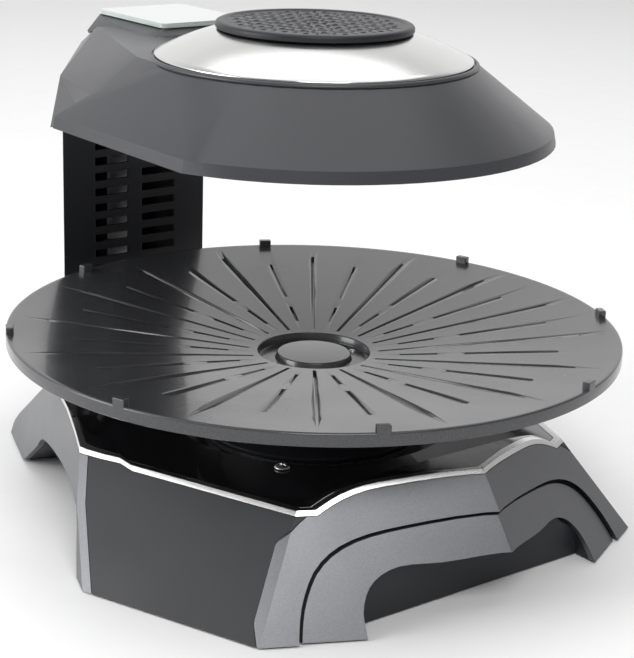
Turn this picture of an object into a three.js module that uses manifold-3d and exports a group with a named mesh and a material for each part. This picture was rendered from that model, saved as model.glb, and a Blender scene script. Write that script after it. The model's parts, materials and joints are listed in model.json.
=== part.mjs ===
// Tabletop infrared roaster: a turning grill plate on a faceted base, with the
// heater head held over it by one column at the back.
// Millimetres, +Z up. The front is -Y and the column stands at +Y.

import * as THREE from 'three';
import { ConvexGeometry } from 'three/addons/geometries/ConvexGeometry.js';
import { mergeVertices } from 'three/addons/utils/BufferGeometryUtils.js';
import Module from 'manifold-3d';

const wasm = await Module();
wasm.setup();

// ---------------------------------------------------------------- driving dimensions

const GAP = 0.3; // between pieces that touch
const ORIGIN_SHIFT_Y = -36; // puts the plate axis so that the box is centred on the origin

// grill plate
const PLATE_R = 190;
const PLATE_RIM_Z = 120.5;
const PLATE_DROP = 21.5; // fall of the cone from the rim to the axis
const PLATE_T = 4;
const PLATE_WALL = 8;
const HUB_R = 35;
const HUB_DISC_R = 23;
const TRENCH_DEPTH = 5.2;
const RAYS = 16;
const RAY_START_DEG = 8.1;
const GROOVE_W = 2.8;
const GROOVE_DEPTH = 2;
const RIM_TABS = 8;
const RIM_TAB_START_DEG = 18.7;

// base: the feet are given as half width and Y at the floor
const FRONT_FOOT = { x: 144, y: -145 };
const SIDE_FOOT = { x: 187, y: -34 };
const REAR_FOOT = { x: 103, y: 210 };
const WING_LEAN = 33.6;
const WING_BEND = 26.4;
const PANEL_LEAN = 38;
const REAR_LEAN = 12;
const SHELL_Z = 1;
const DECK_Z = 62;
const SKIN_T = 2.5;
const TRIM_W = 3.5;
const WALL = 3;
const BAND_T = 4;
const STEP_IN = 2; // the second band lies this much deeper than the first
const SEAM = 2.2; // open groove between the two bands
const TOE_DEPTH = 35;

// well, turntable and drip cup
const WELL_R = 92;
const WELL_WALL = 2;
const WELL_FLOOR_Z = 50;
const CUP_R = 40;
const SCREW_POINTS = [[-72, -66], [72, -66], [-98, 84], [98, 84]];
const TABLE_R_IN = 46;
const TABLE_R_OUT = 72;

// column
const COLUMN_FRONT_Y = 211;
const COLUMN_HALF = 58;
const COLUMN_BACK_Y = 261;
const COLUMN_BACK_HALF = 17;
const COLUMN_TOP_Z = 240.5;
const COLUMN_T = 2.5;
const SLOT_W = 27;
const SLOT_H = 5;
const SLOT_PITCH = 11;
const SLOT_ROWS = 15;
const SLOT_GAP = 11;

// head
const HEAD_Y = 9.3; // the heater's axis stands this far behind the axis of the plate
const RIM_Z = 241;
const RIM_R = 147;
const EDGE_Z = 248;
const EDGE_R = 145.5;
const HEAD_SIDE = 134; // half width where the round front of the head turns into flat sides
const HEAD_TOP_Z = 285;
const RING_R = 95.5;
const RING_TOP_R = 57;
const RING_TOP_Z = 302;
const CAP_R = 59.5;
const CAP_TOP_Z = 306.5;
const HEAD_WALL = 3;
const HEATER_R = 100;
const GLASS = { half: 33, front: 125, back: 205, top: 292, thick: 3 };

// ---------------------------------------------------------------- solids

const deg = THREE.MathUtils.degToRad;

function solid(geometry) {
  const bare = new THREE.BufferGeometry();
  bare.setAttribute('position', geometry.getAttribute('position').clone());
  if (geometry.index) bare.setIndex(geometry.index.clone());
  const merged = mergeVertices(bare, 1e-4);
  const corners = merged.index.array;
  const kept = [];
  for (let i = 0; i < corners.length; i += 3) {
    const [a, b, c] = [corners[i], corners[i + 1], corners[i + 2]];
    if (a !== b && b !== c && c !== a) kept.push(a, b, c);
  }
  return new wasm.Manifold(new wasm.Mesh({
    numProp: 3,
    vertProperties: new Float32Array(merged.getAttribute('position').array),
    triVerts: new Uint32Array(kept),
  }));
}

function joined(solids) {
  return solids.reduce((sum, next) => sum.add(next));
}

function geometryOf(manifold) {
  const mesh = manifold.getMesh();
  const geometry = new THREE.BufferGeometry();
  geometry.setAttribute('position', new THREE.BufferAttribute(mesh.vertProperties, 3));
  geometry.setIndex(new THREE.BufferAttribute(mesh.triVerts, 1));
  return geometry;
}

function flipX(geometry) {
  const flipped = geometry.clone();
  flipped.scale(-1, 1, 1);
  const index = flipped.index.array;
  for (let i = 0; i < index.length; i += 3) {
    [index[i], index[i + 1]] = [index[i + 1], index[i]];
  }
  return flipped;
}

function box(x0, x1, y0, y1, z0, z1) {
  const geometry = new THREE.BoxGeometry(x1 - x0, y1 - y0, z1 - z0);
  geometry.translate((x0 + x1) / 2, (y0 + y1) / 2, (z0 + z1) / 2);
  return geometry;
}

// a profile of [radius, z] points, turned about Z, listed anticlockwise
function turned(profile, segments = 32) {
  const points = profile.map(([r, z]) => new THREE.Vector2(r, z));
  const geometry = new THREE.LatheGeometry(points, segments);
  geometry.rotateX(Math.PI / 2);
  return geometry;
}

function closedTurned(profile, segments = 32) {
  return turned([...profile, profile[0]], segments);
}

function disc(radius, z0, z1, segments = 32) {
  return turned([[0, z0], [radius, z0], [radius, z1], [0, z1]], segments);
}

function outline(points) {
  return new THREE.Shape(points.map(([x, y]) => new THREE.Vector2(x, y)));
}

function upright(shape, z0, z1, curveSegments = 8) {
  const options = { depth: z1 - z0, bevelEnabled: false, curveSegments };
  const geometry = new THREE.ExtrudeGeometry(shape, options);
  geometry.translate(0, 0, z0);
  return geometry;
}

function roundedRect(x0, x1, y0, y1, r) {
  const shape = new THREE.Shape();
  shape.moveTo(x0 + r, y0);
  shape.lineTo(x1 - r, y0);
  shape.absarc(x1 - r, y0 + r, r, -Math.PI / 2, 0);
  shape.lineTo(x1, y1 - r);
  shape.absarc(x1 - r, y1 - r, r, 0, Math.PI / 2);
  shape.lineTo(x0 + r, y1);
  shape.absarc(x0 + r, y1 - r, r, Math.PI / 2, Math.PI);
  shape.lineTo(x0, y0 + r);
  shape.absarc(x0 + r, y0 + r, r, Math.PI, 1.5 * Math.PI);
  return shape;
}

// everything beyond the plane normal . p = offset
function beyond(plane, inset = 0) {
  const size = 900;
  const geometry = new THREE.BoxGeometry(size, size, size);
  geometry.translate(0, 0, size / 2);
  const turn = new THREE.Quaternion();
  turn.setFromUnitVectors(new THREE.Vector3(0, 0, 1), plane.normal);
  geometry.applyQuaternion(turn);
  const shift = plane.normal.clone().multiplyScalar(plane.offset - inset);
  geometry.translate(shift.x, shift.y, shift.z);
  return solid(geometry);
}

function clipped(start, planes, inset = 0) {
  return planes.reduce((rest, plane) => rest.subtract(beyond(plane, inset)), start);
}

// a plane through a floor point, facing a heading and leaning back by an angle
function leaning(heading, lean, x, y) {
  const flat = Math.cos(deg(lean));
  const normal = new THREE.Vector3(
    Math.cos(deg(heading)) * flat,
    Math.sin(deg(heading)) * flat,
    Math.sin(deg(lean)),
  );
  return { normal, offset: normal.x * x + normal.y * y };
}

// ---------------------------------------------------------------- base planes and wings

// edges that run over a wing from its right end to its left end, as seen from outside:
// each point is the distance from the middle of the wing and the height
const mirrored = (edge) => edge.map(([along, z]) => [-along, z]).reverse();
const arched = (half, crest) => [...half, [0, crest], ...mirrored(half)];

const frontWing = {
  x: 0,
  y: FRONT_FOOT.y,
  heading: -90,
  planes: [
    leaning(-90 - WING_BEND, WING_LEAN, -FRONT_FOOT.x, FRONT_FOOT.y),
    leaning(-90 + WING_BEND, WING_LEAN, FRONT_FOOT.x, FRONT_FOOT.y),
  ],
  outer: arched([[144, 0], [132, 24], [112, 49], [92, 62], [70, 71], [44, 75]], 78),
  middle: arched([[121, 0], [113, 17], [99, 34], [78, 45], [46, 51]], 55),
  arch: arched([[88, 0], [85, 14], [76, 26], [60, 33], [36, 34]], 37),
  // top surfaces, as lean, distance outside the line of the feet and height
  ramps: [[5, 14, 78], [40, -18, 75.2]],
  archWall: 8, // the wall behind the arch, outside the line of the feet
};

// the wing from the left foot to the rear foot is one claw with its toe at the back
const leftWing = {
  x: -(SIDE_FOOT.x + REAR_FOOT.x) / 2,
  y: (SIDE_FOOT.y + REAR_FOOT.y) / 2,
  heading: 161,
  planes: [leaning(161, 7.4, -187, -34), leaning(159.8, 13.6, -187, -18.9)],
  outer: [
    [159, 0], [141, 40], [109, 62], [70, 63.5], [44, 67], [9, 70], [-21, 69], [-55, 60],
    [-92, 36], [-124, 13], [-130, 0],
  ],
  arch: [
    [111, 0], [102, 13], [94, 28], [81, 38], [44, 41], [2, 38], [-32, 32], [-43, 23],
    [-60, 11], [-77, 0],
  ],
  ramps: [[20, -13.6, 70]],
  archWall: -40,
  toeTurn: -90, // from the heading to the direction of the toe
};

const flippedPlane = ({ normal, offset }) => {
  return { normal: new THREE.Vector3(-normal.x, normal.y, normal.z), offset };
};
const rightWing = {
  ...leftWing,
  x: -leftWing.x,
  heading: 180 - leftWing.heading,
  planes: leftWing.planes.map(flippedPlane),
  outer: mirrored(leftWing.outer),
  arch: mirrored(leftWing.arch),
  toeTurn: 90,
};
const wings = [frontWing, leftWing, rightWing];

const panelHeading = THREE.MathUtils.radToDeg(
  Math.atan2(SIDE_FOOT.y - FRONT_FOOT.y, SIDE_FOOT.x - FRONT_FOOT.x),
) - 90;
const rightPanel = leaning(panelHeading, PANEL_LEAN, FRONT_FOOT.x, FRONT_FOOT.y);
const rearPlane = leaning(90, REAR_LEAN, 0, REAR_FOOT.y);
const rearOfTrim = leaning(90, 0, 0, 130);
const basePlanes = [
  ...wings.flatMap((wing) => wing.planes), rightPanel, flippedPlane(rightPanel), rearPlane,
];

// the region under an edge, as a prism that runs in and out through the wing
function wingPrism(wing, edge, grow = 0, lower = 0) {
  const points = edge.map(([u, z]) => [u + grow * Math.sign(u), z + grow - lower]);
  const last = points[points.length - 1];
  const shape = new THREE.Shape();
  shape.moveTo(points[0][0], points[0][1]);
  shape.splineThru(points.slice(1).map(([u, z]) => new THREE.Vector2(u, z)));
  shape.lineTo(last[0], -20);
  shape.lineTo(points[0][0], -20);
  const options = { depth: 170, bevelEnabled: false, curveSegments: 3 };
  const geometry = new THREE.ExtrudeGeometry(shape, options);
  geometry.rotateX(Math.PI / 2);
  geometry.translate(0, 80, 0);
  geometry.rotateZ(deg(wing.heading + 90));
  geometry.translate(wing.x, wing.y, 0);
  return solid(geometry);
}

const bigBlock = (z0, z1) => solid(box(-400, 400, -400, 400, z0, z1));

function wedge(wing, inset) {
  return clipped(bigBlock(SHELL_Z, 100), wing.planes, inset);
}

function envelope(inset) {
  return clipped(bigBlock(SHELL_Z, 100), basePlanes, inset);
}

const outward = ({ heading }) => {
  return new THREE.Vector3(Math.cos(deg(heading)), Math.sin(deg(heading)), 0);
};

const besideWing = (wing, direction, distance) => {
  const offset = direction.x * wing.x + direction.y * wing.y + distance;
  return { normal: direction, offset };
};

// the space over the toe of a side wing
function aboveToe(wing) {
  const toeward = outward({ heading: wing.heading + wing.toeTurn });
  return beyond(besideWing(wing, toeward, 21))
    .intersect(beyond(besideWing(wing, outward(wing), -TOE_DEPTH)))
    .subtract(wingPrism(wing, wing.outer));
}

// the top of the base: a flat deck, with ramps up to the crest of each wing
function roof(drop) {
  const parts = [solid(box(-400, 400, -400, 400, -10, DECK_Z - drop))];
  for (const wing of wings) {
    const ramps = wing.ramps.map(([lean, out, z]) => {
      const normal = outward(wing).multiplyScalar(-Math.sin(deg(lean)));
      normal.z = Math.cos(deg(lean));
      const crest = outward(wing).multiplyScalar(out);
      crest.add(new THREE.Vector3(wing.x, wing.y, z - drop));
      return { normal, offset: normal.dot(crest) };
    });
    parts.push(clipped(wingPrism(wing, wing.outer, 0, drop), ramps));
  }
  return joined(parts);
}

const overToes = aboveToe(leftWing).add(aboveToe(rightWing));
const roofTop = roof(0);
const roofUnderSkin = roof(SKIN_T);
const roofOfShell = roof(SKIN_T + GAP);
const fullEnvelope = envelope(0);
const trimEnvelope = envelope(TRIM_W);
const deckEnvelope = envelope(TRIM_W + GAP);

// ---------------------------------------------------------------- base pieces

// the visible face of a wing, down to the edge given
function band(wing, lowerEdge, grow) {
  const sheet = wedge(wing, 0).subtract(wedge(wing, BAND_T));
  const face = wingPrism(wing, wing.outer).subtract(wingPrism(wing, lowerEdge, grow));
  return sheet.intersect(face).intersect(fullEnvelope).intersect(roofOfShell);
}

// a second face, set deeper, between the first one and the arch
function innerBand(wing) {
  const sheet = wedge(wing, STEP_IN).subtract(wedge(wing, STEP_IN + BAND_T));
  const face = wingPrism(wing, wing.middle).subtract(wingPrism(wing, wing.arch));
  return sheet.intersect(face).intersect(envelope(STEP_IN));
}

const archWall = (wing, inset) => besideWing(wing, outward(wing), wing.archWall - inset);

function wingPocket(wing) {
  const arch = wingPrism(wing, wing.arch).intersect(beyond(archWall(wing, 0)));
  const behindOuter = wingPrism(wing, wing.outer, GAP).subtract(wedge(wing, BAND_T + GAP));
  const pocket = arch.add(behindOuter);
  if (!wing.middle) return pocket;
  const behindInner = wingPrism(wing, wing.middle, GAP);
  return pocket.add(behindInner.subtract(wedge(wing, STEP_IN + BAND_T + GAP)));
}

function heelOutline(grow) {
  const front = REAR_FOOT.y - 14;
  return outline([
    [-COLUMN_HALF - grow, front],
    [COLUMN_HALF + grow, front],
    [COLUMN_HALF + grow, COLUMN_FRONT_Y],
    [COLUMN_BACK_HALF + grow, COLUMN_BACK_Y + grow],
    [-COLUMN_BACK_HALF - grow, COLUMN_BACK_Y + grow],
    [-COLUMN_HALF - grow, COLUMN_FRONT_Y],
  ]);
}

function baseShell() {
  let body = fullEnvelope.intersect(roofOfShell).subtract(overToes);
  body = body.subtract(roofTop.subtract(roofOfShell));
  for (const wing of wings) body = body.subtract(wingPocket(wing));
  // hollow, open at the bottom
  const hollowTop = DECK_Z - SKIN_T - GAP - WALL;
  const wallPlanes = wings.map((wing) => archWall(wing, WALL));
  const hollow = clipped(solid(box(-400, 400, -400, 400, -5, hollowTop)), wallPlanes);
  body = body.subtract(hollow.intersect(envelope(WALL + 1.5)));
  // seats of the well and of the foot of the column
  body = body.subtract(solid(disc(WELL_R + WELL_WALL + GAP, 30, DECK_Z + 5, 48)));
  body = body.subtract(solid(upright(heelOutline(1 + GAP), -5, DECK_Z + 5)));
  for (const [x, y] of SCREW_POINTS) {
    const boss = new THREE.CylinderGeometry(2.2, 2.2, 12, 12);
    boss.rotateX(Math.PI / 2);
    boss.translate(x, y, DECK_Z);
    body = body.subtract(solid(boss));
  }
  return body;
}

// the round tray that holds the glide ring and the drip cup
function wellTray() {
  const [low, floorZ, top] = [WELL_FLOOR_Z - WELL_WALL, WELL_FLOOR_Z, DECK_Z - SKIN_T - GAP];
  return turned([
    [0, low], [WELL_R + WELL_WALL, low], [WELL_R + WELL_WALL, top], [WELL_R, top],
    [WELL_R, floorZ], [0, floorZ],
  ], 48);
}

// the foot of the column, with the seat of the inlet in its back
function columnHeel() {
  const top = DECK_Z - SKIN_T - GAP;
  let heel = solid(upright(heelOutline(1), SHELL_Z, top));
  heel = heel.subtract(solid(upright(heelOutline(-WALL), -5, top - WALL)));
  heel = heel.subtract(solid(box(-16, 16, 224, 240, 0, DECK_Z)));
  return heel.subtract(solid(box(-14.3, 14.3, 240.7, 280, 16.7, 37.3)));
}

function deckCover() {
  let skin = roofTop.subtract(roofUnderSkin).intersect(deckEnvelope).subtract(overToes);
  skin = skin.subtract(solid(disc(WELL_R - 2, 40, 100, 48)));
  skin = skin.subtract(solid(upright(heelOutline(1 + GAP), 40, 100)));
  for (const [x, y] of SCREW_POINTS) {
    const hole = new THREE.CylinderGeometry(2.6, 2.6, 20, 12);
    hole.rotateX(Math.PI / 2);
    hole.translate(x, y, DECK_Z);
    skin = skin.subtract(solid(hole));
  }
  return skin;
}

function trimStrip() {
  const edge = fullEnvelope.subtract(trimEnvelope);
  return clipped(roofTop.subtract(roofUnderSkin).intersect(edge), [rearOfTrim]);
}

function bottomCover() {
  const half = [[98, -134], [132, -40], [110, 26], [78, 120], [52, 190]];
  return upright(outline([...half, ...mirrored(half)]), 3, 5.5);
}

const FEET_POINTS = [[-86, -122], [86, -122], [-116, -42], [116, -42], [-40, 176], [40, 176]];

// ---------------------------------------------------------------- plate, turntable, cup

const plateTop = (r) => PLATE_RIM_Z - PLATE_DROP * (1 - r / PLATE_R);
const plateUnder = (r) => plateTop(r) - PLATE_T;

function grillPlate() {
  const floorZ = plateTop(HUB_R) - TRENCH_DEPTH;
  const discZ = plateTop(HUB_R) - 1;
  let plate = solid(turned([
    [0, floorZ - 3],
    [HUB_R + 1.5, floorZ - 3],
    [HUB_R + 3, plateUnder(HUB_R + 3)],
    [PLATE_R - 4, plateUnder(PLATE_R - 4)],
    [PLATE_R - 3, PLATE_RIM_Z - PLATE_WALL],
    [PLATE_R, PLATE_RIM_Z - PLATE_WALL],
    [PLATE_R, PLATE_RIM_Z - 0.8],
    [PLATE_R - 1, PLATE_RIM_Z],
    [HUB_R, plateTop(HUB_R)],
    [HUB_R - 0.6, floorZ],
    [HUB_DISC_R + 1, floorZ],
    [HUB_DISC_R, discZ],
    [0, discZ],
  ], 56));
  const slope = Math.atan2(PLATE_DROP, PLATE_R);
  const cuts = [];
  const groove = (turn, r0, r1) => {
    const cut = new THREE.BoxGeometry(r1 - r0, GROOVE_W, 2 * GROOVE_DEPTH);
    cut.rotateY(-slope);
    cut.translate((r0 + r1) / 2, 0, plateTop((r0 + r1) / 2));
    cut.rotateZ(turn);
    cuts.push(solid(cut));
  };
  for (let ray = 0; ray < RAYS; ray += 1) {
    const turn = deg(RAY_START_DEG + (ray * 360) / RAYS);
    const between = turn + Math.PI / RAYS;
    groove(turn, 40, 167);
    groove(between, 54, 78);
    groove(between, 94, 152);
  }
  for (let drain = 0; drain < 4; drain += 1) {
    const slot = new THREE.BoxGeometry(4, 10, 20);
    slot.translate((HUB_R + HUB_DISC_R) / 2, 0, floorZ);
    slot.rotateZ((drain * Math.PI) / 2);
    cuts.push(solid(slot));
  }
  plate = plate.subtract(joined(cuts));
  for (let tab = 0; tab < RIM_TABS; tab += 1) {
    const block = new THREE.BoxGeometry(5, 8, 8);
    block.translate(PLATE_R - 2.5, 0, PLATE_RIM_Z);
    block.rotateZ(deg(RIM_TAB_START_DEG + (tab * 360) / RIM_TABS));
    plate = plate.add(solid(block));
  }
  return plate;
}

const GLIDE_TOP_Z = WELL_FLOOR_Z + GAP + 5;

function glideRing() {
  const [r0, r1, z0, z1] = [54, 68, WELL_FLOOR_Z + GAP, GLIDE_TOP_Z];
  return closedTurned([[r0, z0], [r1, z0], [r1, z1], [r0, z1]]);
}

function turntable() {
  const z0 = GLIDE_TOP_Z + GAP;
  const seat = (r) => plateUnder(r) - GAP;
  return closedTurned([
    [TABLE_R_IN, z0],
    [TABLE_R_OUT, z0],
    [TABLE_R_OUT, z0 + 3],
    [TABLE_R_IN + 12, z0 + 6],
    [TABLE_R_IN + 12, seat(TABLE_R_IN + 12) - 3],
    [TABLE_R_OUT, seat(TABLE_R_OUT) - 3],
    [TABLE_R_OUT, seat(TABLE_R_OUT)],
    [TABLE_R_IN + 8, seat(TABLE_R_IN + 8)],
    [TABLE_R_IN + 8, z0 + 3],
    [TABLE_R_IN, z0 + 3],
  ]);
}

function dripCup() {
  const z0 = WELL_FLOOR_Z + GAP;
  const top = z0 + 26;
  return turned([
    [0, z0], [CUP_R - 4, z0], [CUP_R, top - 2], [CUP_R + 4, top - 2], [CUP_R + 4, top],
    [CUP_R - 2, top], [CUP_R - 6, z0 + 2], [0, z0 + 2],
  ]);
}

// ---------------------------------------------------------------- column

const COLUMN_FOOT_Z = DECK_Z + GAP;

// half width of the column where its sides run in towards the back
function columnHalf(y) {
  const along = (y - COLUMN_FRONT_Y) / (COLUMN_BACK_Y - COLUMN_FRONT_Y);
  return COLUMN_HALF + (COLUMN_BACK_HALF - COLUMN_HALF) * along;
}

function columnFront() {
  const [half, front, back] = [COLUMN_HALF, COLUMN_FRONT_Y, COLUMN_FRONT_Y + COLUMN_T];
  const section = outline([
    [-half, front], [half, front], [columnHalf(back), back], [-columnHalf(back), back],
  ]);
  const slots = [];
  for (let row = 0; row < SLOT_ROWS; row += 1) {
    const z = COLUMN_TOP_Z - 8 - row * SLOT_PITCH;
    for (const side of [-1, 1]) {
      const x = side * (SLOT_GAP + SLOT_W) / 2;
      slots.push(solid(box(x - SLOT_W / 2, x + SLOT_W / 2, front - 5, front + 5, z - SLOT_H, z)));
    }
  }
  return solid(upright(section, COLUMN_FOOT_Z, COLUMN_TOP_Z)).subtract(joined(slots));
}

function columnRear() {
  const front = COLUMN_FRONT_Y + COLUMN_T + GAP;
  const inner = COLUMN_BACK_Y - COLUMN_T;
  const [frontHalf, backHalf] = [columnHalf(front), COLUMN_BACK_HALF];
  const section = outline([
    [-frontHalf, front], [4 - frontHalf, front], [1 - backHalf, inner], [backHalf - 1, inner],
    [frontHalf - 4, front], [frontHalf, front],
    [backHalf, COLUMN_BACK_Y], [-backHalf, COLUMN_BACK_Y],
  ]);
  return upright(section, COLUMN_FOOT_Z, COLUMN_TOP_Z);
}

function columnPost() {
  const section = outline([
    [-14, 226], [14, 226], [14, 238], [12, 238], [12, 228], [-12, 228], [-12, 238], [-14, 238],
  ]);
  return upright(section, 8, 262);
}

// ---------------------------------------------------------------- head

function tailPoints(inset) {
  const x = (value) => value - inset * 1.3;
  const z = (value) => (value > RIM_Z ? value - inset : value - 2 * inset);
  const right = [
    [x(96), 20, z(HEAD_TOP_Z)], [x(94), 58, z(HEAD_TOP_Z)], [x(53), 173 - inset, z(HEAD_TOP_Z)],
    [x(120), 76, z(251.5)], [x(134), 91 - inset, z(RIM_Z)], [x(102), 135 - inset, z(263)],
    [x(60), 206 - inset, z(RIM_Z)], [x(COLUMN_BACK_HALF), 262 - inset, z(RIM_Z)],
    [x(26), 212 - inset, z(279)], [x(COLUMN_BACK_HALF), 255 - inset, z(262)],
  ];
  return right.flatMap(([px, py, pz]) => [[px, py, pz], [-px, py, pz]]);
}

function hull(points) {
  return new ConvexGeometry(points.map(([x, y, z]) => new THREE.Vector3(x, y, z)));
}

// points around the heater's axis
function ringPoints(radius, z, count, from, to) {
  const points = [];
  for (let i = 0; i <= count; i += 1) {
    const angle = deg(from + ((to - from) * i) / count);
    points.push([radius * Math.cos(angle), HEAD_Y + radius * Math.sin(angle), z]);
  }
  return points;
}

// the front of the head at one level: round, with flat sides
function headLine(radius, side, z, inset, count = 28) {
  const reach = THREE.MathUtils.radToDeg(Math.acos(side / radius));
  return [
    ...ringPoints(radius - inset, z, count, 180 + reach, 360 - reach),
    [side - inset, 88 - inset, z], [inset - side, 88 - inset, z],
  ];
}

function headBody(inset) {
  const front = hull([
    ...headLine(RIM_R, HEAD_SIDE, RIM_Z - inset * 2, inset),
    ...headLine(EDGE_R, HEAD_SIDE - 1.5, EDGE_Z - inset * 0.6, inset * 1.3),
    ...ringPoints(RING_R + 1.5 - inset * 1.4, HEAD_TOP_Z - inset, 47, 0, 352.5),
  ]);
  return solid(front).add(solid(hull(tailPoints(inset))));
}

const aboutHeater = (geometry) => geometry.translate(0, HEAD_Y, 0);

function plinth() {
  const { half, front, back, top, thick } = GLASS;
  const z1 = top - thick - GAP;
  return hull([
    [-half + 1, front + 1, z1], [half - 1, front + 1, z1],
    [-half + 1, back - 1, z1], [half - 1, back - 1, z1],
    [-half - 14, front - 8, 283], [half + 14, front - 8, 283],
    [-half - 12, back - 6, 279], [half + 12, back - 6, 279], [-20, 240, 270], [20, 240, 270],
  ]);
}

function headShell() {
  const { half, front, back, top, thick } = GLASS;
  let shell = headBody(0).add(solid(plinth())).subtract(headBody(HEAD_WALL));
  shell = shell.subtract(bigBlock(200, RIM_Z));
  shell = shell.subtract(solid(aboutHeater(disc(RING_R - 4, 260, 320, 48))));
  const well = roundedRect(-half + 5, half - 5, front + 5, back - 5, 4);
  shell = shell.subtract(solid(upright(well, 270, top, 3)));
  // opening over the column
  shell = shell.subtract(solid(box(-16, 16, 224, 240, 200, 263)));
  return shell;
}

function headUnderplate() {
  const z0 = RIM_Z + 1;
  const sheet = outline([
    ...headLine(RIM_R - 6, HEAD_SIDE - 7, 0, 0).slice(0, -2),
    [122, 82], [48, 194], [12, 248], [-12, 248], [-48, 194], [-122, 82],
  ]);
  const heater = new THREE.Path();
  heater.absarc(0, HEAD_Y, HEATER_R, 0, 2 * Math.PI, true);
  sheet.holes.push(heater);
  const plate = solid(upright(sheet, z0, z0 + 2, 24));
  return plate.subtract(solid(box(-16, 16, 224, 240, 200, 263)));
}

function chromeRing() {
  const [base, t] = [HEAD_TOP_Z + GAP, 1.5];
  return closedTurned([
    [RING_R - 3, base], [RING_R, base], [RING_R, base + 1.4], [RING_TOP_R, RING_TOP_Z],
    [RING_TOP_R - 3, RING_TOP_Z], [RING_TOP_R - 3, RING_TOP_Z - t], [RING_TOP_R - 1, RING_TOP_Z - t],
  ], 48);
}

function ventCap() {
  const z0 = RING_TOP_Z + GAP;
  const cap = solid(turned([
    [0, CAP_TOP_Z - 2.5], [CAP_R - 3, CAP_TOP_Z - 2.5], [CAP_R - 3, z0], [CAP_R, z0],
    [CAP_R, CAP_TOP_Z - 1], [CAP_R - 1, CAP_TOP_Z], [0, CAP_TOP_Z],
  ], 44));
  const holes = [];
  for (let row = -3; row <= 3; row += 1) {
    for (let column = -4; column <= 4; column += 1) {
      const x = column * 12 + (row % 2 === 0 ? 0 : 6);
      const y = row * 14;
      if (Math.hypot(x, y) > CAP_R - 10) continue;
      const hole = new THREE.CylinderGeometry(1, 1, 20, 6);
      hole.scale(2.6, 1, 4);
      hole.rotateX(Math.PI / 2);
      hole.translate(x, y, CAP_TOP_Z);
      holes.push(solid(hole));
    }
  }
  return cap.subtract(joined(holes));
}

function reflector() {
  return turned([
    [0, 273], [58, 269], [94, 250], [98, 245.5], [102, 245.5], [102, 246.7],
    [99, 246.7], [95, 251.2], [59, 270.2], [0, 274.2],
  ], 40);
}

function lampRing() {
  const path = new THREE.CatmullRomCurve3(
    ringPoints(68, 258, 24, 98, 442).map(([x, y, z]) => new THREE.Vector3(x, y - HEAD_Y, z)),
  );
  const section = new THREE.Shape();
  section.absarc(0, 0, 4.5, 0, 2 * Math.PI);
  const options = { steps: 32, extrudePath: path, bevelEnabled: false, curveSegments: 3 };
  return new THREE.ExtrudeGeometry(section, options);
}

function wireGuard() {
  const wire = 1.2;
  const z = 249.5;
  const parts = [];
  for (const radius of [22, 46, 70, 91]) {
    const ring = new THREE.TorusGeometry(radius, wire, 4, 28);
    ring.translate(0, 0, z);
    parts.push(solid(ring));
  }
  for (let spoke = 0; spoke < 4; spoke += 1) {
    const rod = new THREE.CylinderGeometry(wire, wire, 2 * 92, 4);
    rod.rotateZ((spoke * Math.PI) / 4);
    rod.translate(0, 0, z - 1.2);
    parts.push(solid(rod));
  }
  return joined(parts);
}

const FAN_Z = 289;

function fanRotor() {
  const parts = [solid(disc(16, FAN_Z, FAN_Z + 8, 24))];
  for (let blade = 0; blade < 6; blade += 1) {
    const sheet = new THREE.BoxGeometry(34, 22, 1.4);
    sheet.rotateX(deg(22));
    sheet.translate(31, 0, FAN_Z + 4);
    sheet.rotateZ((blade * Math.PI) / 3);
    parts.push(solid(sheet));
  }
  return joined(parts);
}

function fanBracket() {
  const bar = solid(box(-99, 99, -8, 8, 276.5, 278.5));
  return bar.intersect(solid(disc(96, 270, 280)));
}

// ---------------------------------------------------------------- materials and nodes

const look = (color, roughness, metalness) => () =>
  new THREE.MeshStandardMaterial({ color, roughness, metalness });

const satinGrey = look(0x8d9196, 0.42, 0.5);
const shellGrey = look(0x4d4f53, 0.5, 0);
const blackPlastic = look(0x2a2a2e, 0.4, 0);
const glossBlack = look(0x08080a, 0.1, 0);
const nonStick = look(0x3a3b3e, 0.35, 0.3);
const chrome = look(0xe6e6e6, 0.08, 1);
const steel = look(0xa9abad, 0.35, 1);
const aluminium = look(0xc9cbcd, 0.3, 1);
const rubber = look(0x151515, 0.9, 0);
const ceramic = look(0xe9e4d8, 0.6, 0);
const quartz = look(0xffd9b0, 0.15, 0);
const glass = look(0xc9d6d0, 0.05, 0);
const board = look(0x1f5a38, 0.6, 0);

const model = new THREE.Group();
model.position.y = ORIGIN_SHIFT_Y;

function add(name, shape, material, position = [0, 0, 0]) {
  const geometry = shape.isBufferGeometry ? shape : geometryOf(shape);
  const mesh = new THREE.Mesh(geometry, material());
  mesh.name = name;
  mesh.position.set(...position);
  model.add(mesh);
}

function screw(radius, length) {
  return turned([
    [0, -length], [1.7, -length], [1.7, GAP], [radius, GAP], [radius, 1.2], [radius * 0.6, 2.2],
    [0, 2.4],
  ], 12);
}

// base
add('base_shell', baseShell(), blackPlastic);
add('well_tray', wellTray(), blackPlastic);
add('column_heel', columnHeel(), blackPlastic);
add('deck_cover', deckCover(), glossBlack);
add('base_trim', trimStrip(), chrome);
add('front_wing_outer', band(frontWing, frontWing.middle, SEAM), satinGrey);
add('front_wing_inner', innerBand(frontWing), satinGrey);
const leftBand = geometryOf(band(leftWing, leftWing.arch, 0));
add('left_wing', leftBand, satinGrey);
add('right_wing', flipX(leftBand), satinGrey);
add('bottom_cover', bottomCover(), blackPlastic);
FEET_POINTS.forEach(([x, y], i) => {
  add(`rubber_foot_${i + 1}`, disc(8, 0, 3 - GAP, 20), rubber, [x, y, 0]);
});
SCREW_POINTS.forEach(([x, y], i) => {
  add(`deck_screw_${i + 1}`, screw(4.5, 5), steel, [x, y, DECK_Z]);
});
const socket = solid(box(-14, 14, 241, 262, 17, 37)).subtract(solid(box(-10, 10, 249, 270, 21, 33)));
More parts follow.
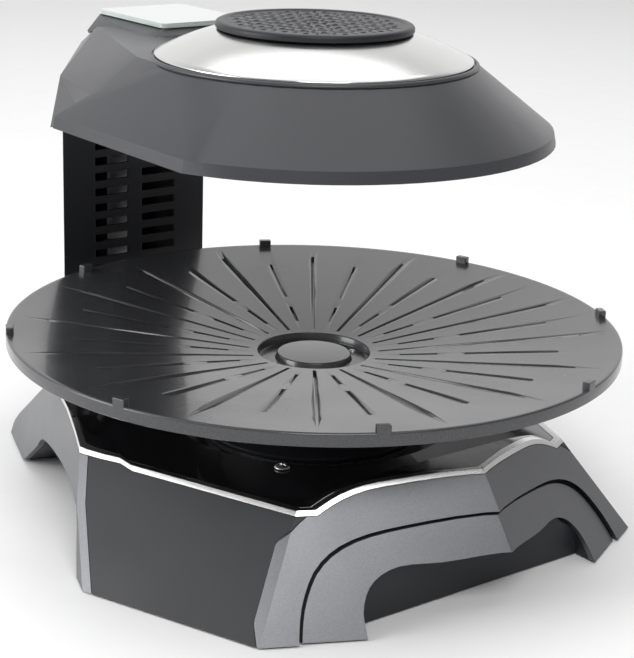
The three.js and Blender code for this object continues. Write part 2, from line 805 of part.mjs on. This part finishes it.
add('inlet_socket', socket, blackPlastic);

// plate and what it turns on
add('glide_ring', glideRing(), steel);
add('turntable', turntable(), blackPlastic);
add('drip_cup', dripCup(), steel);
add('grill_plate', grillPlate(), nonStick);

// column
add('column_front_cover', columnFront(), blackPlastic);
add('column_rear_cover', columnRear(), blackPlastic);
add('column_post', columnPost(), steel);

// head
add('head_shell', headShell(), shellGrey);
add('head_underplate', headUnderplate(), blackPlastic);
const overHeater = [0, HEAD_Y, 0];
add('chrome_ring', chromeRing(), chrome, overHeater);
add('vent_cap', ventCap(), blackPlastic, overHeater);
add('reflector_dish', reflector(), aluminium, overHeater);
add('heater_lamp', lampRing(), quartz, overHeater);
for (const side of [-1, 1]) {
  const name = side < 0 ? 'lamp_holder_left' : 'lamp_holder_right';
  const x = 5.05 * side;
  add(name, box(x - 3.4, x + 3.4, 62, 74, 251.2, 259), ceramic, overHeater);
}
add('wire_guard', wireGuard(), steel, overHeater);
add('fan_bracket', fanBracket(), steel, overHeater);
add('fan_motor', disc(15, 278.5 + GAP, FAN_Z - GAP, 24), blackPlastic, overHeater);
add('fan_rotor', fanRotor(), blackPlastic, overHeater);
const { half: glassHalf, front: glassFront, back: glassBack, top: glassTop } = GLASS;
const glassShape = roundedRect(-glassHalf, glassHalf, glassFront, glassBack, 5);
add('control_glass', upright(glassShape, glassTop - GLASS.thick, glassTop, 4), glass);
add('control_board', box(-26, 26, glassFront + 8, glassBack - 8, 283, 284.6), board);

export default model;
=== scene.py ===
"""Tabletop infrared roaster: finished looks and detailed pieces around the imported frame."""
import json
import math

import bmesh
import bpy
from mathutils import Matrix, Vector


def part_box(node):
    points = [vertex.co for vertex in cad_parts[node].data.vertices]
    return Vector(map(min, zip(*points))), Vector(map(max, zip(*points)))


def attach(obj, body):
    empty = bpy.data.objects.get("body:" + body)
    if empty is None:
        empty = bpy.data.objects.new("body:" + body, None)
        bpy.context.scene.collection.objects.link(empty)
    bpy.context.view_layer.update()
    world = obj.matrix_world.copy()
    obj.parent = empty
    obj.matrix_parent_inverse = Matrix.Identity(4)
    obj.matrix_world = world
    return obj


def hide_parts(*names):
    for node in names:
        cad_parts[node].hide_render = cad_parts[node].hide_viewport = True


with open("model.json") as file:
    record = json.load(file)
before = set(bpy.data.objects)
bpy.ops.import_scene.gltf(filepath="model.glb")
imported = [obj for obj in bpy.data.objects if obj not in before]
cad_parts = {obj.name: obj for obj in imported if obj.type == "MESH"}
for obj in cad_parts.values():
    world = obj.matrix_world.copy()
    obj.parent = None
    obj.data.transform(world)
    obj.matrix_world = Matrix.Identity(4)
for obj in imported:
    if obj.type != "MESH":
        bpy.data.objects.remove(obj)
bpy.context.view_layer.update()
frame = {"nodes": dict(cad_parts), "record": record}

MM = 0.001


def middle(node):
    low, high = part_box(node)
    return (low + high) / 2


PLATE = middle("grill_plate")
HEAD = middle("chrome_ring")


# ------------------------------------------------------------------ materials

DRIFT_SCALE = 14
GRAIN_DEPTH = 0.1
COAT_ROUGHNESS = 0.08


def node_material(name):
    mat = bpy.data.materials.new(name)
    mat.use_nodes = True
    tree = mat.node_tree
    shader = tree.nodes["Principled BSDF"]
    coords = tree.nodes.new("ShaderNodeTexCoord")
    return mat, tree, shader, coords.outputs["Object"]


def noise(tree, vector, scale, detail=3.0, stretch=None):
    if stretch:
        mapping = tree.nodes.new("ShaderNodeMapping")
        mapping.inputs["Scale"].default_value = stretch
        tree.links.new(vector, mapping.inputs["Vector"])
        vector = mapping.outputs["Vector"]
    node = tree.nodes.new("ShaderNodeTexNoise")
    node.inputs["Scale"].default_value = scale
    node.inputs["Detail"].default_value = detail
    tree.links.new(vector, node.inputs["Vector"])
    return node.outputs["Fac"]


def ramp(tree, factor, stops):
    node = tree.nodes.new("ShaderNodeValToRGB")
    elements = node.color_ramp.elements
    while len(elements) < len(stops):
        elements.new(0.5)
    for element, (position, value) in zip(elements, stops):
        element.position = position
        element.color = (*value, 1) if isinstance(value, tuple) else (value, value, value, 1)
    tree.links.new(factor, node.inputs["Fac"])
    return node.outputs["Color"]


def mixed(tree, a, b, blend="MIX"):
    node = tree.nodes.new("ShaderNodeMix")
    node.data_type = "RGBA"
    node.blend_type = blend
    node.inputs["Factor"].default_value = 1.0
    tree.links.new(a, node.inputs["A"])
    tree.links.new(b, node.inputs["B"])
    return node.outputs["Result"]


def shade(color, amount):
    return tuple(min(1.0, channel * amount) for channel in color)


def surface(name, color, rough, metal=0.0, grain=900, bump=0.1, spread=0.12, rough_spread=0.06,
            stretch=None, coat=0.0, specular=0.5, drift=0.07):
    """A finish with fine grain, slow colour drift and uneven gloss."""
    mat, tree, shader, where = node_material(name)
    fine = noise(tree, where, grain, 4, stretch)
    broad = noise(tree, where, DRIFT_SCALE, 3)
    grained = ramp(tree, fine, [(0.3, shade(color, 1 - spread)), (0.7, shade(color, 1 + spread))])
    drifted = ramp(tree, broad, [(0.3, 1 - drift), (0.7, 1.0)])
    tree.links.new(mixed(tree, grained, drifted, "MULTIPLY"), shader.inputs["Base Color"])
    gloss = ramp(tree, broad, [(0.3, max(0.02, rough - rough_spread)), (0.7, rough + rough_spread)])
    tree.links.new(gloss, shader.inputs["Roughness"])
    shader.inputs["Metallic"].default_value = metal
    shader.inputs["Coat Weight"].default_value = coat
    shader.inputs["Coat Roughness"].default_value = COAT_ROUGHNESS
    shader.inputs["Specular IOR Level"].default_value = specular
    bumps = tree.nodes.new("ShaderNodeBump")
    bumps.inputs["Strength"].default_value = bump
    bumps.inputs["Distance"].default_value = GRAIN_DEPTH * MM
    tree.links.new(fine, bumps.inputs["Height"])
    tree.links.new(bumps.outputs["Normal"], shader.inputs["Normal"])
    return mat


LOOKS = {
    "black_plastic": surface("moulded_black", (0.02, 0.021, 0.025), 0.4, grain=1400, bump=0.35, specular=0.3),
    "gloss_black": surface("piano_black", (0.006, 0.006, 0.007), 0.07, grain=300, bump=0.02,
                           rough_spread=0.04, coat=0.6),
    "shell_grey": surface("charcoal_shell", (0.04, 0.041, 0.047), 0.34, grain=1600, bump=0.4,
                          rough_spread=0.04),
    "satin_grey": surface("satin_metallic_grey", (0.15, 0.152, 0.16), 0.34, metal=0.75, grain=2200,
                          bump=0.25, spread=0.2, rough_spread=0.05),
    "non_stick": surface("non_stick_coat", (0.042, 0.043, 0.047), 0.24, grain=1300, bump=0.5,
                         spread=0.3, rough_spread=0.05, coat=0.3),
    "chrome": surface("polished_chrome", (0.66, 0.655, 0.65), 0.2, metal=1.0, grain=400, bump=0.02,
                      spread=0.02, rough_spread=0.03),
    "steel": surface("plain_steel", (0.8, 0.8, 0.81), 0.36, metal=1.0, grain=700, bump=0.1,
                     stretch=(1, 1, 8)),
    "aluminium": surface("bright_aluminium", (0.72, 0.72, 0.73), 0.2, metal=1.0, grain=500, bump=0.06),
    "rubber": surface("black_rubber", (0.016, 0.016, 0.017), 0.75, grain=900, bump=0.5),
    "ceramic": surface("unglazed_ceramic", (0.72, 0.69, 0.62), 0.6, grain=800, bump=0.3),
    "quartz": surface("frosted_quartz", (0.78, 0.6, 0.44), 0.15, grain=300, bump=0.05, coat=0.5),
    "tinted_glass": surface("printed_glass", (0.5, 0.56, 0.53), 0.06, grain=120, bump=0.0,
                            spread=0.03, rough_spread=0.02, coat=0.8),
    "circuit_board": surface("solder_mask", (0.015, 0.1, 0.045), 0.45, grain=500, bump=0.3),
}
SLOT_OF = {entry["node"]: entry["material_slot"] for entry in frame["record"]["subparts"]}


# ------------------------------------------------------------------ mesh helpers

def finish_piece(mesh_or_bm, name, slot, body, nodes=(), bevel=0.0):
    """Makes an object of a mesh, gives it its finish and puts it on its body."""
    if isinstance(mesh_or_bm, bmesh.types.BMesh):
        bmesh.ops.recalc_face_normals(mesh_or_bm, faces=mesh_or_bm.faces)
        mesh = bpy.data.meshes.new(name)
        mesh_or_bm.to_mesh(mesh)
        mesh_or_bm.free()
    else:
        mesh = mesh_or_bm
    obj = bpy.data.objects.new(name, mesh)
    bpy.context.collection.objects.link(obj)
    mesh.materials.clear()
    mesh.materials.append(LOOKS[slot])
    soften(obj, bevel)
    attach(obj, body)
    if nodes:
        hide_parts(*nodes)
    return obj


def soften(obj, width, angle=28):
    """Small rounded edges that catch the light, with flat faces kept flat."""
    for polygon in obj.data.polygons:
        polygon.use_smooth = True
    weld = obj.modifiers.new("weld", "WELD")
    weld.merge_threshold = 0.005 * MM
    if width:
        bevel = obj.modifiers.new("edge", "BEVEL")
        bevel.width = width * MM
        bevel.segments = 2
        bevel.limit_method = "ANGLE"
        bevel.angle_limit = math.radians(angle)
        bevel.use_clamp_overlap = True
    normals = obj.modifiers.new("normals", "WEIGHTED_NORMAL")
    normals.weight = 60


def lathe(profile, centre, steps=160):
    """A closed profile of (radius, height) in millimetres, turned about a vertical axis."""
    bm = bmesh.new()
    rings = []
    for radius, height in profile:
        z = height * MM
        if radius < 1e-6:
            rings.append([bm.verts.new((centre.x, centre.y, z))])
            continue
        ring = []
        for step in range(steps):
            a = 2 * math.pi * step / steps
            ring.append(bm.verts.new((centre.x + radius * MM * math.cos(a),
                                      centre.y + radius * MM * math.sin(a), z)))
        rings.append(ring)
    pairs = list(zip(rings, rings[1:]))
    if profile[0][0] > 1e-6 and profile[-1][0] > 1e-6:
        pairs.append((rings[-1], rings[0]))
    for a, b in pairs:
        for step in range(steps):
            after = (step + 1) % steps
            corners = [a[step % len(a)], a[after % len(a)], b[after % len(b)], b[step % len(b)]]
            unique = list(dict.fromkeys(corners))
            if len(unique) > 2:
                bm.faces.new(unique)
    return bm


def prism(bm, outline, low, high, matrix):
    """Adds an upright prism over a flat outline, in millimetres, placed by a matrix in metres."""
    bottom = [bm.verts.new(matrix @ Vector((x * MM, y * MM, low * MM))) for x, y in outline]
    top = [bm.verts.new(matrix @ Vector((x * MM, y * MM, high * MM))) for x, y in outline]
    bm.faces.new(list(reversed(bottom)))
    bm.faces.new(top)
    for i in range(len(outline)):
        j = (i + 1) % len(outline)
        bm.faces.new((bottom[i], bottom[j], top[j], top[i]))


def stadium(length, width, steps=5):
    """A long slot with round ends, lying along X."""
    reach, r = length / 2 - width / 2, width / 2
    points = []
    for side in (1, -1):
        for step in range(steps + 1):
            a = math.pi * (step / steps - 0.5) + (0 if side > 0 else math.pi)
            points.append((side * reach + r * math.cos(a), r * math.sin(a)))
    return points


def carved(bm, cutters):
    """The first mesh with the cutters taken away."""
    objects = []
    for source in (bm, cutters):
        bmesh.ops.recalc_face_normals(source, faces=source.faces)
        mesh = bpy.data.meshes.new("carving")
        source.to_mesh(mesh)
        source.free()
        obj = bpy.data.objects.new("carving", mesh)
        bpy.context.collection.objects.link(obj)
        objects.append(obj)
    base, tool = objects
    boolean = base.modifiers.new("cut", "BOOLEAN")
    boolean.operation = "DIFFERENCE"
    boolean.solver = "EXACT"
    boolean.object = tool
    bpy.context.view_layer.update()
    shaped = base.evaluated_get(bpy.context.evaluated_depsgraph_get())
    result = bpy.data.meshes.new_from_object(shaped)
    for obj in objects:
        bpy.data.objects.remove(obj)
    return result


def turned_by(centre, degrees, distance=0.0, height=0.0, tilt=0.0):
    """Places something at a distance from an axis, turned about it."""
    axis = Matrix.Translation((centre.x, centre.y, 0))
    turn = Matrix.Rotation(math.radians(degrees), 4, "Z")
    reach = Matrix.Translation((distance * MM, 0, height * MM))
    return axis @ turn @ reach @ Matrix.Rotation(-tilt, 4, "Y")


# ------------------------------------------------------------------ grill plate

plate_low, plate_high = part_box("grill_plate")
PLATE_R = (plate_high.x - plate_low.x) / 2 / MM
TAB_TOP = plate_high.z / MM
RIM_Z = TAB_TOP - 4
DROP = 21.5  # fall of the plate's cone from the rim to the axis
SHEET = 4  # thickness of the dish
RIM_DEPTH = 8
HUB_R = 35
DISC_R = 22.3
TRENCH_DEPTH = 5.2
DRAIN_R = 29.2
RAYS = 16
RAY_START = 8.1
GROOVE_WIDTH = 2.1
GROOVE_DEPTH = 2.3
TABS = 8
TAB_START = 18.7


def plate_top(r):
    return RIM_Z - DROP * (1 - r / PLATE_R)


TRENCH_Z = plate_top(HUB_R) - TRENCH_DEPTH


def grill_plate():
    """A dished plate with a rolled rim, a sunk ring round the hub, grooves and drain slots."""
    under = [(r, plate_top(r) - SHEET) for r in (120, PLATE_R - 5)]
    over = [(r, plate_top(r)) for r in (PLATE_R - 3, 150, 90, HUB_R + 1)]
    disc = plate_top(HUB_R) - 1
    bm = lathe([
        (0, TRENCH_Z - 3), (HUB_R + 1.5, TRENCH_Z - 3), (HUB_R + 3.2, plate_top(HUB_R + 3) - SHEET),
        *under,
        (PLATE_R - 3.5, RIM_Z - RIM_DEPTH + 0.4), (PLATE_R - 2.8, RIM_Z - RIM_DEPTH),
        (PLATE_R - 0.6, RIM_Z - RIM_DEPTH), (PLATE_R, RIM_Z - RIM_DEPTH + 0.6),
        (PLATE_R, RIM_Z - 1.2), (PLATE_R - 0.35, RIM_Z - 0.35), (PLATE_R - 1.2, RIM_Z),
        *over,
        (HUB_R, plate_top(HUB_R) - 0.5), (HUB_R - 0.5, TRENCH_Z + 0.6), (HUB_R - 1.1, TRENCH_Z),
        (DISC_R + 2.1, TRENCH_Z), (DISC_R + 1.5, TRENCH_Z + 0.5), (DISC_R + 0.7, disc - 0.6),
        (DISC_R, disc), (0, disc),
    ], PLATE, 224)
    slope = math.atan2(DROP, PLATE_R)
    cutters = bmesh.new()

    def groove(degrees, r0, r1):
        place = turned_by(PLATE, degrees, (r0 + r1) / 2, plate_top((r0 + r1) / 2), slope)
        prism(cutters, stadium(r1 - r0, GROOVE_WIDTH), -GROOVE_DEPTH, 3, place)

    for ray in range(RAYS):
        turn = RAY_START + ray * 360 / RAYS
        between = turn + 180 / RAYS
        groove(turn, 40, 167)
        groove(between, 54, 78)
        groove(between, 94, 152)
    for drain in range(4):
        place = turned_by(PLATE, drain * 90, DRAIN_R, TRENCH_Z)
        prism(cutters, [(-2, -5), (2, -5), (2, 5), (-2, 5)], -6, 3, place)
    return carved(bm, cutters)


def plate_tabs():
    bm = bmesh.new()
    for tab in range(TABS):
        place = turned_by(PLATE, TAB_START + tab * 360 / TABS, PLATE_R - 2.4)
        prism(bm, [(-2.4, -4), (2.3, -4), (2.3, 4), (-2.4, 4)], RIM_Z - 3, TAB_TOP, place)
    return bm


def hub_rivet(degrees, radius=2.4):
    """A low dome in the trench round the hub."""
    place = turned_by(PLATE, degrees, 29).to_translation()
    rise = radius * 0.6
    arc = [(radius * math.cos(a), TRENCH_Z + rise * math.sin(a)) for a in (0.1, 0.5, 0.9, 1.3)]
    profile = [(0, TRENCH_Z - 1), (radius, TRENCH_Z - 1), *arc, (0, TRENCH_Z + rise)]
    return lathe(profile, place, 32)


finish_piece(grill_plate(), "cast_plate", "non_stick", "plate_body", ["grill_plate"])
finish_piece(plate_tabs(), "plate_tabs", "non_stick", "plate_body", bevel=0.5)
finish_piece(hub_rivet(175), "hub_rivet_left", "steel", "plate_body")
finish_piece(hub_rivet(-5), "hub_rivet_right", "steel", "plate_body")


# ------------------------------------------------------------------ chrome ring, bead and vent cap

ring_low, ring_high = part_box("chrome_ring")
cap_low, cap_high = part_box("vent_cap")
RING_R = (ring_high.x - ring_low.x) / 2 / MM
CAP_R = (cap_high.x - cap_low.x) / 2 / MM
CONE_TOP_R = 57
CONE_BULGE = 1.1


def chrome_ring():
    """The cone under the vent, slightly bulged."""
    base, top = ring_low.z / MM, ring_high.z / MM
    edge = base + 1.6
    slope = []
    for step in range(13):
        t = step / 12
        bulge = CONE_BULGE * math.sin(math.pi * t)
        slope.append((RING_R + (CONE_TOP_R - RING_R) * t, edge + (top - edge) * t + bulge))
    return lathe([
        (RING_R - 4, base), (RING_R - 0.3, base), (RING_R, base + 0.4), *slope,
        (CONE_TOP_R - 3, top), (CONE_TOP_R - 3, top - 1.6), (CONE_TOP_R - 1, top - 1.7),
    ], HEAD, 192)


def shell_bead():
    """The raised edge of the casing round the cone, with a dark gap between them."""
    z = ring_low.z / MM - 0.3
    inner = RING_R + 1.15
    return lathe([
        (inner, z - 1.5), (inner, z + 0.5), (inner + 0.45, z + 0.95), (inner + 1.25, z + 0.8),
        (inner + 2.15, z), (inner + 2.65, z - 1.5),
    ], HEAD, 192)


HOLE_PITCH = 13.2
HOLE_RISE = 11.4
HOLE = (4.6, 3.4)  # length and width
SLIT = (6.4, 1.3)
GRILLE_TURN = 30


def vent_cap():
    """A round cap with rows of holes and three slits round each hole."""
    z0, z1 = cap_low.z / MM, cap_high.z / MM
    bm = lathe([
        (0, z1 - 2.6), (CAP_R - 3, z1 - 2.6), (CAP_R - 3, z0), (CAP_R - 0.5, z0), (CAP_R, z0 + 0.5),
        (CAP_R, z1 - 1.6), (CAP_R - 0.6, z1 - 0.6), (CAP_R - 1.8, z1), (CAP_R - 5, z1),
        (CAP_R - 6, z1 - 0.7), (0, z1 - 0.7),
    ], HEAD, 160)
    cutters = bmesh.new()

    def opening(size, steps, x, y, degrees):
        place = turned_by(HEAD + Vector((x, y, 0)) * MM, degrees, height=z1)
        prism(cutters, stadium(*size, steps), -4, 3, place)

    for row in range(-5, 6):
        for column in range(-5, 6):
            x = (column + (0.5 if row % 2 else 0)) * HOLE_PITCH
            y = row * HOLE_RISE
            if math.hypot(x, y) < CAP_R - 9:
                opening(HOLE, 4, x, y, GRILLE_TURN)
            for third in range(3):
                angle = math.radians(third * 60)
                cx = x + HOLE_PITCH / 2 * math.cos(angle)
                cy = y + HOLE_PITCH / 2 * math.sin(angle)
                if math.hypot(cx, cy) < CAP_R - 9.5:
                    opening(SLIT, 3, cx, cy, GRILLE_TURN + third * 60 + 60)
    return carved(bm, cutters)


finish_piece(chrome_ring(), "chrome_cone", "chrome", "base", ["chrome_ring"])
finish_piece(shell_bead(), "shell_bead", "shell_grey", "base")
finish_piece(vent_cap(), "vent_grille", "black_plastic", "base", ["vent_cap"])


# ------------------------------------------------------------------ deck screws

SCREWS = sorted(node for node in frame["nodes"] if node.startswith("deck_screw_"))


def screw_head(node):
    """A pan head with a cross recess, on a plain shank."""
    low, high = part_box(node)
    centre = (low + high) / 2
    radius = (high.x - low.x) / 2 / MM
    bottom, top = low.z / MM, high.z / MM
    seat = top - 2.1
    bm = lathe([
        (0, bottom), (1.7, bottom), (1.7, seat), (radius - 0.3, seat), (radius, seat + 0.3),
        (radius, seat + 0.8), (radius * 0.86, seat + 1.5), (radius * 0.55, seat + 2.0), (0, top),
    ], centre, 48)
    reach, half = radius * 0.55, 0.45
    cross = [(reach, -half), (reach, half), (half, half), (half, reach), (-half, reach),
             (-half, half), (-reach, half), (-reach, -half), (-half, -half), (-half, -reach),
             (half, -reach), (half, -half)]
    cutters = bmesh.new()
    prism(cutters, cross, top - 1.3, top + 2, turned_by(centre, 20))
    return carved(bm, cutters)


for node in SCREWS:
    finish_piece(screw_head(node), node.replace("deck_screw", "screw_head"), "steel", "base", [node])


# ------------------------------------------------------------------ pieces kept from the CAD

EDGES = {  # width of each rounded edge, in millimetres
    "base_shell": 1.6, "deck_cover": 0.5, "base_trim": 1.2, "front_wing_outer": 1.0,
    "front_wing_inner": 1.5, "left_wing": 2.0, "right_wing": 2.0, "head_shell": 1.4,
    "column_front_cover": 0.7, "column_rear_cover": 1.5, "control_glass": 0.6,
    "drip_cup": 0.5, "turntable": 0.6, "column_heel": 1.0,
}
PLAIN_EDGE = 0.3
replaced = {"grill_plate", "chrome_ring", "vent_cap", *SCREWS}
for node, obj in frame["nodes"].items():
    if node in replaced:
        continue
    obj.data.materials.clear()
    obj.data.materials.append(LOOKS[SLOT_OF[node]])
    soften(obj, EDGES.get(node, PLAIN_EDGE), 22)


# ------------------------------------------------------------------ floor, light and camera

FLOOR_HALF = 6.0
FLOOR_Z = -0.0002


def floor():
    bm = bmesh.new()
    half = FLOOR_HALF
    corners = [(-half, -half), (half, -half), (half, half), (-half, half)]
    bm.faces.new([bm.verts.new((x, y, FLOOR_Z)) for x, y in corners])
    mesh = bpy.data.meshes.new("floor")
    bm.to_mesh(mesh)
    bm.free()
    obj = bpy.data.objects.new("floor", mesh)
    bpy.context.collection.objects.link(obj)
    obj.data.materials.append(surface("pale_floor", (0.96, 0.96, 0.96), 0.7, grain=40, bump=0.0,
                                      spread=0.01, drift=0.005))


def area_light(name, location, target, size, power):
    data = bpy.data.lights.new(name, "AREA")
    data.shape = "RECTANGLE"
    data.size, data.size_y = size
    data.energy = power
    obj = bpy.data.objects.new(name, data)
    bpy.context.collection.objects.link(obj)
    obj.location = location
    aim = Vector(target) - Vector(location)
    obj.rotation_mode = "QUATERNION"
    obj.rotation_quaternion = aim.to_track_quat("-Z", "Y")


def studio():
    """A white backdrop behind the object, a dimmer room in front and soft boxes over it."""
    bpy.context.scene.view_settings.view_transform = "Standard"
    world = bpy.data.worlds.new("studio")
    bpy.context.scene.world = world
    world.use_nodes = True
    tree = world.node_tree
    background = tree.nodes["Background"]
    coords = tree.nodes.new("ShaderNodeTexCoord")
    split = tree.nodes.new("ShaderNodeSeparateXYZ")
    tree.links.new(coords.outputs["Generated"], split.inputs["Vector"])
    height = ramp(tree, split.outputs["Z"],
                  [(0.0, 1.0), (0.45, 1.0), (0.7, 0.7), (0.88, 0.4), (1.0, 0.22)])
    depth = tree.nodes.new("ShaderNodeMapRange")
    depth.inputs["From Min"].default_value = -1
    tree.links.new(split.outputs["Y"], depth.inputs["Value"])
    front = ramp(tree, depth.outputs["Result"], [(0.0, 0.3), (0.42, 0.34), (0.64, 1.0), (1.0, 1.0)])
    lit = mixed(tree, height, front, "MULTIPLY")
    white = tree.nodes.new("ShaderNodeRGB")
    white.outputs["Color"].default_value = (1, 1, 1, 1)
    rays = tree.nodes.new("ShaderNodeLightPath")
    seen = mixed(tree, lit, white.outputs["Color"])
    tree.links.new(rays.outputs["Is Camera Ray"], seen.node.inputs["Factor"])
    tree.links.new(seen, background.inputs["Color"])
    background.inputs["Strength"].default_value = 1.05
    area_light("key", (-0.9, -1.7, 2.0), (0, 0, 0.1), (1.3, 1.0), 30)
    area_light("left", (-2.2, 0.9, 0.9), (0, 0, 0.2), (1.4, 1.4), 34)
    area_light("floor_wash", (0.5, 0.6, 2.8), (0.4, 0.5, 0), (3.0, 3.0), 38)


CAMERA_AT = Vector((-0.640, -0.856, 0.449))
LOOK_ALONG = Vector((0.5843, 0.7503, -0.3092))
CAMERA_ROLL = 1.92
LENS = 95.7
SHIFT = (0.007, 0.014)


def camera():
    """A long lens that looks down a little at the front left of the object."""
    data = bpy.data.cameras.new("camera")
    data.lens = LENS
    data.sensor_width = 36
    data.shift_x, data.shift_y = SHIFT
    obj = bpy.data.objects.new("camera", data)
    bpy.context.collection.objects.link(obj)
    obj.location = CAMERA_AT
    forward = LOOK_ALONG.normalized()
    right = forward.cross(Vector((0, 0, 1))).normalized()
    up = right.cross(forward)
    roll = math.radians(CAMERA_ROLL)
    side = math.cos(roll) * right + math.sin(roll) * up
    top = math.cos(roll) * up - math.sin(roll) * right
    turn = Matrix((side, top, -forward)).transposed()
    obj.rotation_mode = "QUATERNION"
    obj.rotation_quaternion = turn.to_quaternion()
    bpy.context.scene.camera = obj


floor()
studio()
camera()
